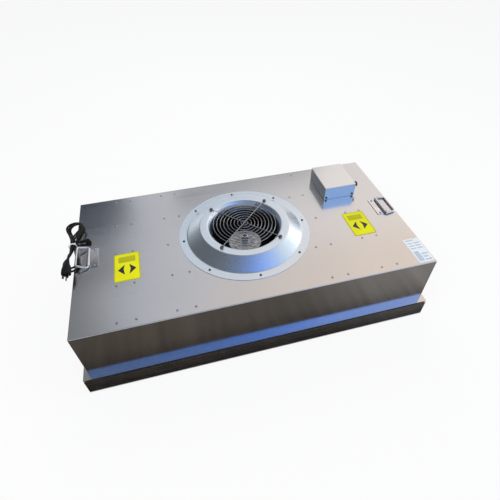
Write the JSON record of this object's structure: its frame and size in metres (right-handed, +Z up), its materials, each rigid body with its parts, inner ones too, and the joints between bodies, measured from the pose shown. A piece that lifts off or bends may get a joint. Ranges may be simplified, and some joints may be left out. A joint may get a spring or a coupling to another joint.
{
  "type": "fan filter unit",
  "caption": "Ceiling fan filter unit: shallow flanged steel case over a pleated filter, with a guarded bell-mouth inlet, a speed control box, two drop handles and a coiled power cord.",
  "frame": {"origin": "centre of the filter frame's footprint, on the plane of its lower face", "axes": "+Z up through the air inlet, +X along the case towards the control box's end, +Y towards the control box's side"},
  "size_m": [1.1956, 0.641, 0.324],
  "materials": {
    "casing_steel": "satin coated sheet steel",
    "inlet_steel": "satin spun sheet",
    "control_box_steel": "light grey powder coat",
    "filter_aluminium": "extruded, natural",
    "guard_wire": "plated wire",
    "handle_chrome": "bright plated",
    "fastener_steel": "plated",
    "rotor_black": "black",
    "stator_aluminium": "as cast",
    "bright_steel": "ground",
    "liner_foam": "open-cell foam",
    "media_white": "glass-fibre paper",
    "gasket_rubber": "closed-cell sponge",
    "cord_black": "matt",
    "tie_white": "matt",
    "knob_black": "satin",
    "plate_yellow": "satin film",
    "label_white": "satin film"
  },
  "bodies": {
    "base": {"box_fixing_screws": "fastener_steel", "box_grommet": "cord_black", "bridge_screws": "fastener_steel", "control_box_lid": "control_box_steel", "control_box_screws": "fastener_steel", "control_box_tray": "control_box_steel", "cord_hank": "cord_black", "cord_tail": "cord_black", "cord_tie": "tie_white", "filter_frame": "filter_aluminium", "filter_guard": "guard_wire", "filter_media": "media_white", "filter_potting": "media_white", "finger_guard": "guard_wire", "flange_gasket": "gasket_rubber", "guard_bolts": "fastener_steel", "inlet_ring": "inlet_steel", "inlet_screws": "fastener_steel", "left_direction_plate": "plate_yellow", "left_handle_plate": "handle_chrome", "left_handle_screws": "fastener_steel", "liner_back": "liner_foam", "liner_front": "liner_foam", "liner_left": "liner_foam", "liner_right": "liner_foam", "lower_bearing": "bright_steel", "motor_bridge": "casing_steel", "motor_screws": "fastener_steel", "motor_stator": "stator_aluminium", "panel_rivets": "fastener_steel", "plug_body": "cord_black", "plug_pins": "handle_chrome", "power_cord": "cord_black", "rating_plate": "label_white", "right_direction_plate": "plate_yellow", "right_handle_plate": "handle_chrome", "right_handle_screws": "fastener_steel", "run_capacitor": "label_white", "speed_controller": "knob_black", "speed_dial": "bright_steel", "stiffener_left_inner": "casing_steel", "stiffener_left_outer": "casing_steel", "stiffener_right_inner": "casing_steel", "stiffener_right_outer": "casing_steel", "strain_relief": "cord_black", "terminal_block": "label_white", "top_case": "casing_steel", "upper_bearing": "bright_steel"},
    "fan": {"fan_rotor": "rotor_black", "impeller_backplate": "rotor_black", "impeller_blades": "rotor_black", "impeller_shroud": "rotor_black", "impeller_screws": "fastener_steel", "motor_shaft": "bright_steel"},
    "speed_knob": {"speed_knob": "knob_black", "knob_spindle": "bright_steel"},
    "left_bail": {"left_bail": "handle_chrome"},
    "right_bail": {"right_bail": "handle_chrome"}
  },
  "joints": [
    {"name": "fan_spin", "type": "hinge", "parent": "base", "child": "fan", "pos_m": [0, 0, 0.2], "axis": [0, 0, 1], "continuous": true},
    {"name": "right_bail_swing", "type": "hinge", "parent": "base", "child": "right_bail", "pos_m": [0.526, 0, 0.27758], "axis": [0, -1, 0], "range_deg": [0, 181]},
    {"name": "left_bail_swing", "type": "hinge", "parent": "base", "child": "left_bail", "pos_m": [-0.526, 0, 0.27758], "axis": [0, 1, 0], "range_deg": [0, 156]},
    {"name": "speed_knob_turn", "type": "hinge", "parent": "base", "child": "speed_knob", "pos_m": [0.4635, 0.11, 0.31], "axis": [-1, 0, 0], "range_deg": [0, 270]}
  ]
}
